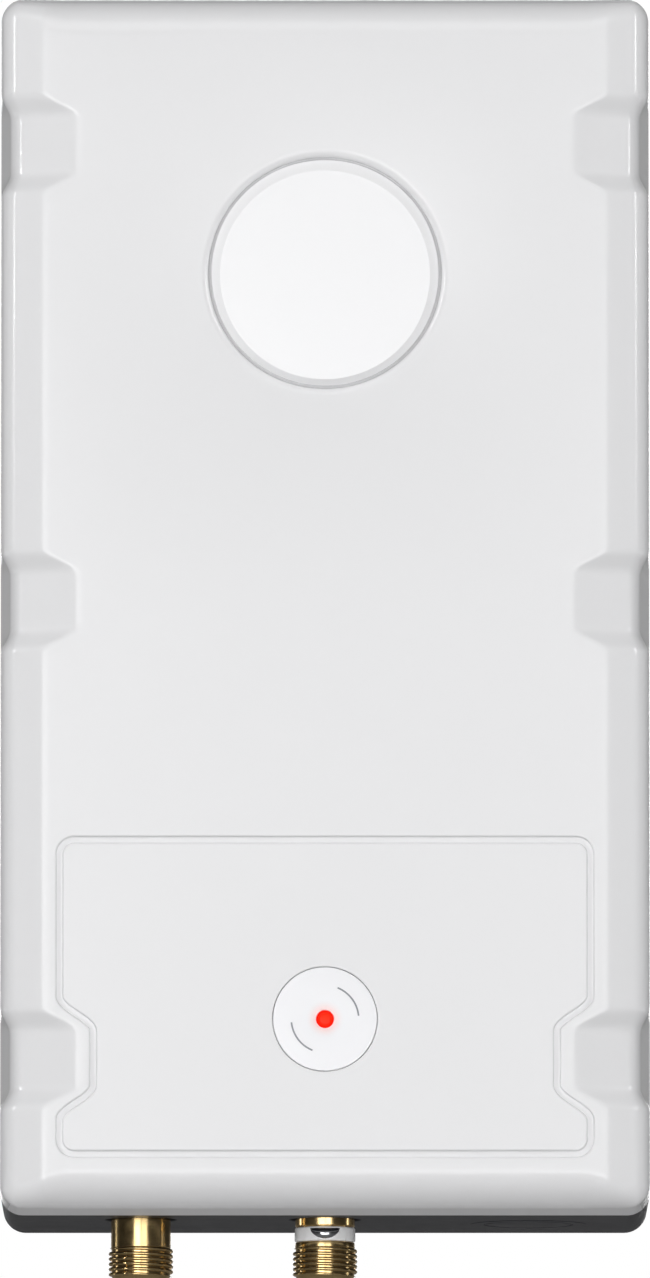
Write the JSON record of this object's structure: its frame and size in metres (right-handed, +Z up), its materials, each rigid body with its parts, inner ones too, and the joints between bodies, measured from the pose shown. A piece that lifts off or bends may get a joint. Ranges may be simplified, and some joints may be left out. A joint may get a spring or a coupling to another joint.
{
  "type": "tankless electric water heater",
  "caption": "Wall-mounted point-of-use electric water heater with a white moulded cover, charcoal base, brass stubs and a lit indicator.",
  "frame": {"origin": "centre of the wall-hole pattern, on the back plane that lies against the wall", "axes": "+X to the right seen from the front, +Y into the wall, +Z up"},
  "size_m": [0.1334, 0.0736, 0.2623],
  "materials": {
    "cover_white": "satin moulded",
    "badge_white": "smooth",
    "lens_white": "smooth",
    "red_light": "clear tinted, lit",
    "charcoal": "fine moulded grain",
    "brass": "turned",
    "nylon": "satin",
    "polished_steel": "polished",
    "vessel_grey": "moulded, glass-filled",
    "rubber": "matte",
    "steel": "zinc plated",
    "ceramic": "unglazed",
    "heating_wire": "oxidised",
    "copper_link": "bright",
    "screen": "perforated",
    "board_green": "solder resist",
    "relay_blue": "moulded",
    "capacitor_yellow": "dipped",
    "ivory": "moulded",
    "black_plastic": "moulded",
    "aluminium": "milled",
    "brown_plastic": "pressed",
    "red_button": "smooth",
    "green_metal": "lacquered",
    "black_lead": "insulation",
    "white_lead": "insulation",
    "red_lead": "insulation",
    "green_lead": "insulation",
    "grey_lead": "insulation"
  },
  "bodies": {
    "base": {"base_tray": "charcoal", "cover_screws": "steel", "vessel_body": "vessel_grey", "vessel_head": "vessel_grey", "head_gasket": "rubber", "head_screws": "steel", "vessel_screws": "steel", "element_core_inlet": "ceramic", "element_core_outlet": "ceramic", "heating_coil_inlet": "heating_wire", "heating_coil_outlet": "heating_wire", "element_terminals": "brass", "element_link": "copper_link", "inlet_stub": "brass", "outlet_stub": "brass", "inlet_collar": "nylon", "inlet_clip": "polished_steel", "stub_o_rings": "rubber", "stub_retainer": "steel", "retainer_screws": "steel", "inlet_filter": "screen", "flow_regulator": "black_plastic", "flow_sensor": "black_plastic", "control_board": "board_green", "board_screws": "steel", "board_relay": "relay_blue", "board_capacitors": "capacitor_yellow", "board_connector": "ivory", "board_chip": "black_plastic", "indicator_led": "red_light", "power_switch": "black_plastic", "cooling_plate": "aluminium", "switch_screw": "steel", "thermal_cutout": "brown_plastic", "cutout_screws": "steel", "terminal_block": "ivory", "terminal_screws": "steel", "ground_screw": "green_metal", "cable_clamp": "black_plastic", "clamp_screws": "steel", "wire_lugs": "steel", "wire_line": "black_lead", "wire_load": "black_lead", "wire_neutral": "white_lead", "wire_switch": "red_lead", "wire_ground": "green_lead", "wire_sensor": "grey_lead"},
    "cover": {"front_cover": "cover_white", "badge_disc": "badge_white", "indicator_lens": "lens_white", "light_pipe": "red_light"},
    "shuttle": {"piston_shuttle": "ivory", "piston_magnet": "steel"},
    "button": {"reset_button": "red_button"}
  },
  "joints": [
    {"name": "cover_lift", "type": "slide", "parent": "base", "child": "cover", "axis": [0, -1, 0], "range_m": [0, 0.075]},
    {"name": "flow_lift", "type": "slide", "parent": "base", "child": "shuttle", "axis": [0, 0, 1], "range_m": [0, 0.006]},
    {"name": "reset_press", "type": "slide", "parent": "base", "child": "button", "axis": [0, 1, 0], "range_m": [0, 0.0012], "stiffness_N_per_m": 800}
  ]
}
